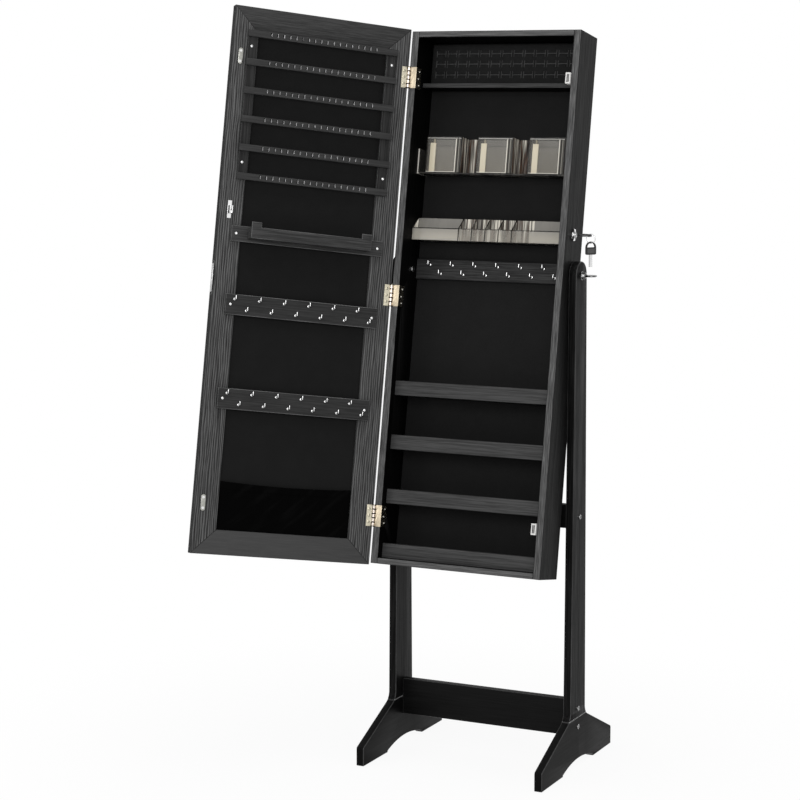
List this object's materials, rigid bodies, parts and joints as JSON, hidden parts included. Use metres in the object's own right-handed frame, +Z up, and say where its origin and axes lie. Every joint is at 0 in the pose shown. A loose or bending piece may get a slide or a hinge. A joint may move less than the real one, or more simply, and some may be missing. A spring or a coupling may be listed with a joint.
{
  "type": "jewelry armoire",
  "caption": "Free-standing jewelry armoire: a slim cabinet that tilts between two footed posts, with a hinged mirror door, hook boards, earring rack, clear bins and lower shelves.",
  "frame": {"origin": "on the floor, under the middle of the bounding box of the armoire with its door open as modelled", "axes": "+X to the right seen from the front, +Y to the back, +Z up"},
  "size_m": [0.6962, 0.605, 1.5261],
  "materials": {
    "ebony": "dark stained wood grain, satin",
    "ebony_light": "dark stained wood grain, satin",
    "ebony_dark": "black stained wood, satin",
    "felt": "black flocked felt",
    "pouch_cloth": "black stretch cloth",
    "clear_plastic": "clear acrylic",
    "mirror": "silvered glass",
    "bright_metal": "polished",
    "nickel": "satin nickel plate",
    "white_plastic": "moulded",
    "black_plastic": "moulded"
  },
  "bodies": {
    "stand": {"left_post": "ebony", "right_post": "ebony", "left_foot": "ebony", "right_foot": "ebony", "lower_crossbar": "ebony_dark", "upper_crossbar": "ebony_dark", "stand_screws": "bright_metal"},
    "cabinet": {"pivot_bolts": "bright_metal", "pivot_spacers": "black_plastic", "cabinet_left_side": "ebony", "cabinet_right_side": "ebony", "cabinet_top": "ebony", "cabinet_bottom": "ebony", "cabinet_back": "ebony_dark", "back_lining": "felt", "ring_shelf": "ebony_dark", "ring_pad": "felt", "bin_floors": "ebony_dark", "bin_lips": "ebony_light", "cabinet_hook_board": "ebony_dark", "cabinet_hooks": "bright_metal", "clear_tray": "clear_plastic", "tray_cleat": "black_plastic", "clear_rack": "clear_plastic", "magnet_catches": "white_plastic", "lock_barrel": "bright_metal", "lock_nut": "nickel", "hinge_cabinet_leaves": "nickel", "hinge_pins": "nickel", "cabinet_screws": "bright_metal"},
    "left_knob": {"left_tilt_knob": "bright_metal"},
    "right_knob": {"right_tilt_knob": "bright_metal"},
    "box_left": {"clear_box_left": "clear_plastic"},
    "box_middle": {"clear_box_middle": "clear_plastic"},
    "box_right": {"clear_box_right": "clear_plastic"},
    "lock_core": {"lock_plug": "nickel", "lock_cam": "nickel"},
    "key_in_lock": {"lock_key": "black_plastic"},
    "ring": {"key_ring": "bright_metal"},
    "hanging_key": {"spare_key": "black_plastic"},
    "door": {"door_hinge_stile": "ebony", "door_free_stile": "ebony", "door_top_rail": "ebony", "door_bottom_rail": "ebony", "mirror": "mirror", "door_panel": "felt", "rack_stiles": "ebony", "rack_slats": "ebony", "ledge_rail": "ebony", "ledge_trough": "ebony", "ledge_front": "ebony", "upper_hook_board": "ebony_dark", "lower_hook_board": "ebony_dark", "door_hooks": "bright_metal", "door_screws": "bright_metal", "pouch": "pouch_cloth", "strike_plates": "bright_metal", "lock_strike": "bright_metal", "edge_pull": "bright_metal", "hinge_door_leaves": "nickel"}
  },
  "joints": [
    {"name": "cabinet_tilt", "type": "hinge", "parent": "stand", "child": "cabinet", "pos_m": [0.11456, 0.1145, 0.994], "axis": [-1, 0, 0], "range_deg": [-5, 7]},
    {"name": "door_swing", "type": "hinge", "parent": "cabinet", "child": "door", "pos_m": [-0.06944, 0.05942, 1.00411], "axis": [0, -0.1805, -0.9836], "range_deg": [-135.5, 33.3]},
    {"name": "left_knob_turn", "type": "hinge", "parent": "cabinet", "child": "left_knob", "pos_m": [-0.09294, 0.1145, 0.994], "axis": [-1, 0, 0], "range_deg": [0, 360]},
    {"name": "right_knob_turn", "type": "hinge", "parent": "cabinet", "child": "right_knob", "pos_m": [0.32206, 0.1145, 0.994], "axis": [1, 0, 0], "range_deg": [0, 360]},
    {"name": "box_left_lift", "type": "slide", "parent": "cabinet", "child": "box_left", "axis": [0, 0.1805, 0.9836], "range_m": [0, 0.09]},
    {"name": "box_middle_lift", "type": "slide", "parent": "cabinet", "child": "box_middle", "axis": [0, 0.1805, 0.9836], "range_m": [0, 0.09]},
    {"name": "box_right_lift", "type": "slide", "parent": "cabinet", "child": "box_right", "axis": [0, 0.1805, 0.9836], "range_m": [0, 0.09]},
    {"name": "lock_turn", "type": "hinge", "parent": "cabinet", "child": "lock_core", "pos_m": [0.29256, 0.1145, 1.07381], "axis": [1, 0, 0], "range_deg": [0, 90]},
    {"name": "key_pull", "type": "slide", "parent": "lock_core", "child": "key_in_lock", "axis": [1, 0, 0], "range_m": [0, 0.03]},
    {"name": "ring_swing", "type": "hinge", "parent": "key_in_lock", "child": "ring", "pos_m": [0.33526, 0.1145, 1.07381], "axis": [0, 1, 0], "range_deg": [-30, 8]},
    {"name": "hanging_key_swing", "type": "hinge", "parent": "ring", "child": "hanging_key", "pos_m": [0.33526, 0.1145, 1.05823], "axis": [1, 0, 0], "range_deg": [-20, 20]}
  ]
}
